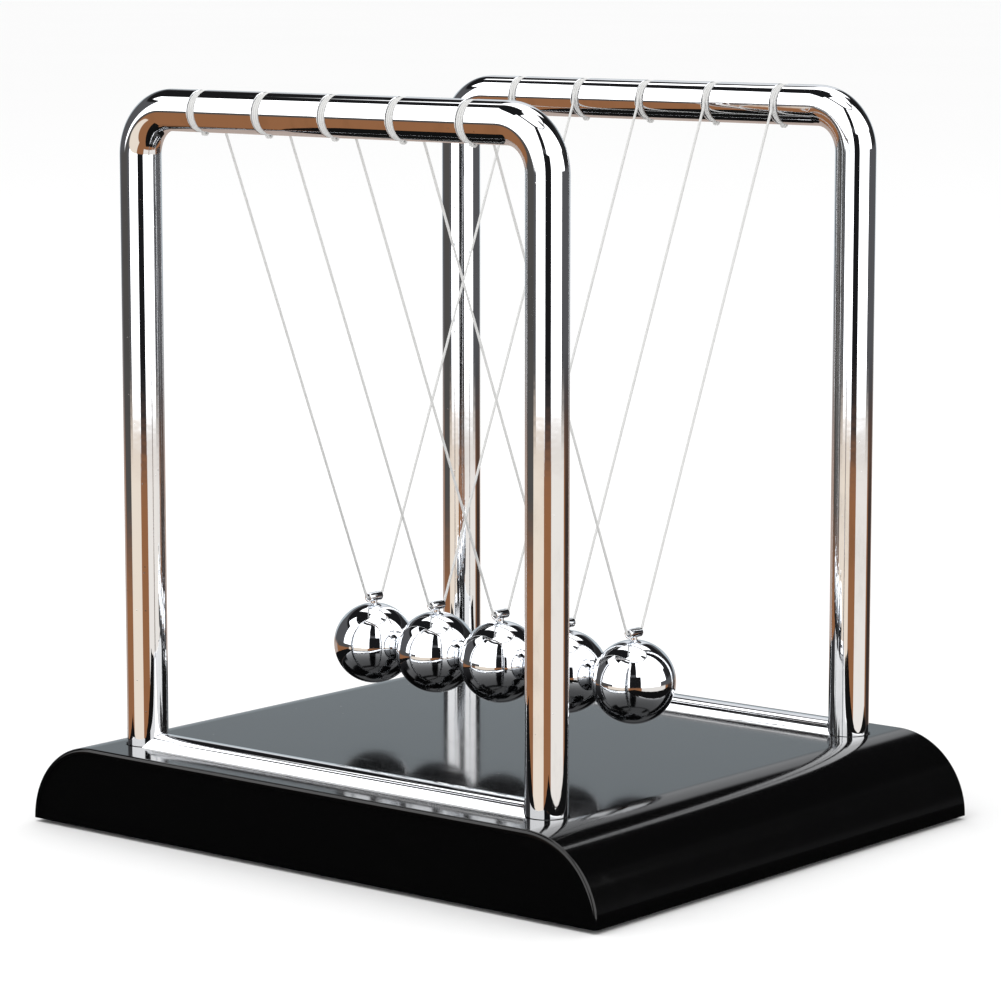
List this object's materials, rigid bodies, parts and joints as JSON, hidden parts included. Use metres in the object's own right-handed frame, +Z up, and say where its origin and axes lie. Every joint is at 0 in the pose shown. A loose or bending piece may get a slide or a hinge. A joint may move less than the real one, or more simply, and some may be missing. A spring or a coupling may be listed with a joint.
{
  "type": "newtons cradle",
  "caption": "Desk-top swinging-ball toy: a row of steel balls on V-shaped clear lines between two bent chrome tube frames on a black base with rounded sides.",
  "frame": {"origin": "on the resting surface, under the middle of the base", "axes": "+Z up, +X along the row of balls from ball 1 to ball 5, +Y from the front frame to the back frame"},
  "size_m": [0.088, 0.074, 0.09],
  "materials": {
    "base_gloss_black": "polished",
    "cover_matte_black": "fine texture",
    "foot_rubber": "matte",
    "screw_steel": "zinc plated",
    "bush_brass": "machined",
    "frame_chrome": "bright plated",
    "ball_chrome": "mirror polished",
    "clear_line": "clear nylon"
  },
  "bodies": {
    "root": {"base_shell": "base_gloss_black", "base_cover": "cover_matte_black", "foot_front_left": "foot_rubber", "foot_front_right": "foot_rubber", "foot_back_left": "foot_rubber", "foot_back_right": "foot_rubber", "cover_screw_front_left": "screw_steel", "cover_screw_front_right": "screw_steel", "cover_screw_back_left": "screw_steel", "cover_screw_back_right": "screw_steel", "frame_front": "frame_chrome", "sill_rod_front": "frame_chrome", "frame_back": "frame_chrome", "sill_rod_back": "frame_chrome", "post_bush_front_left": "bush_brass", "post_washer_front_left": "screw_steel", "post_screw_front_left": "screw_steel", "post_bush_front_right": "bush_brass", "post_washer_front_right": "screw_steel", "post_screw_front_right": "screw_steel", "post_bush_back_left": "bush_brass", "post_washer_back_left": "screw_steel", "post_screw_back_left": "screw_steel", "post_bush_back_right": "bush_brass", "post_washer_back_right": "screw_steel", "post_screw_back_right": "screw_steel", "line_end_front_1": "clear_line", "line_end_back_1": "clear_line", "line_end_front_2": "clear_line", "line_end_back_2": "clear_line", "line_end_front_3": "clear_line", "line_end_back_3": "clear_line", "line_end_front_4": "clear_line", "line_end_back_4": "clear_line", "line_end_front_5": "clear_line", "line_end_back_5": "clear_line"},
    "pendulum_1": {"ball_1": "ball_chrome", "ball_hanger_1": "ball_chrome", "line_1": "clear_line"},
    "pendulum_2": {"ball_2": "ball_chrome", "ball_hanger_2": "ball_chrome", "line_2": "clear_line"},
    "pendulum_3": {"ball_3": "ball_chrome", "ball_hanger_3": "ball_chrome", "line_3": "clear_line"},
    "pendulum_4": {"ball_4": "ball_chrome", "ball_hanger_4": "ball_chrome", "line_4": "clear_line"},
    "pendulum_5": {"ball_5": "ball_chrome", "ball_hanger_5": "ball_chrome", "line_5": "clear_line"}
  },
  "joints": [
    {"name": "ball_1_swing", "type": "hinge", "parent": "root", "child": "pendulum_1", "pos_m": [-0.0206, 0, 0.08684], "axis": [0, -1, 0], "range_deg": [-60, 0]},
    {"name": "ball_2_swing", "type": "hinge", "parent": "root", "child": "pendulum_2", "pos_m": [-0.0103, 0, 0.08684], "axis": [0, -1, 0], "range_deg": [0, 55]},
    {"name": "ball_3_swing", "type": "hinge", "parent": "root", "child": "pendulum_3", "pos_m": [0, 0, 0.08684], "axis": [0, -1, 0], "range_deg": [0, 55]},
    {"name": "ball_4_swing", "type": "hinge", "parent": "root", "child": "pendulum_4", "pos_m": [0.0103, 0, 0.08684], "axis": [0, -1, 0], "range_deg": [0, 55]},
    {"name": "ball_5_swing", "type": "hinge", "parent": "root", "child": "pendulum_5", "pos_m": [0.0206, 0, 0.08684], "axis": [0, -1, 0], "range_deg": [0, 55]}
  ],
  "couplings": [
    {"joint": "ball_2_swing", "follows": "ball_5_swing", "ratio": 1},
    {"joint": "ball_3_swing", "follows": "ball_5_swing", "ratio": 1},
    {"joint": "ball_4_swing", "follows": "ball_5_swing", "ratio": 1}
  ]
}
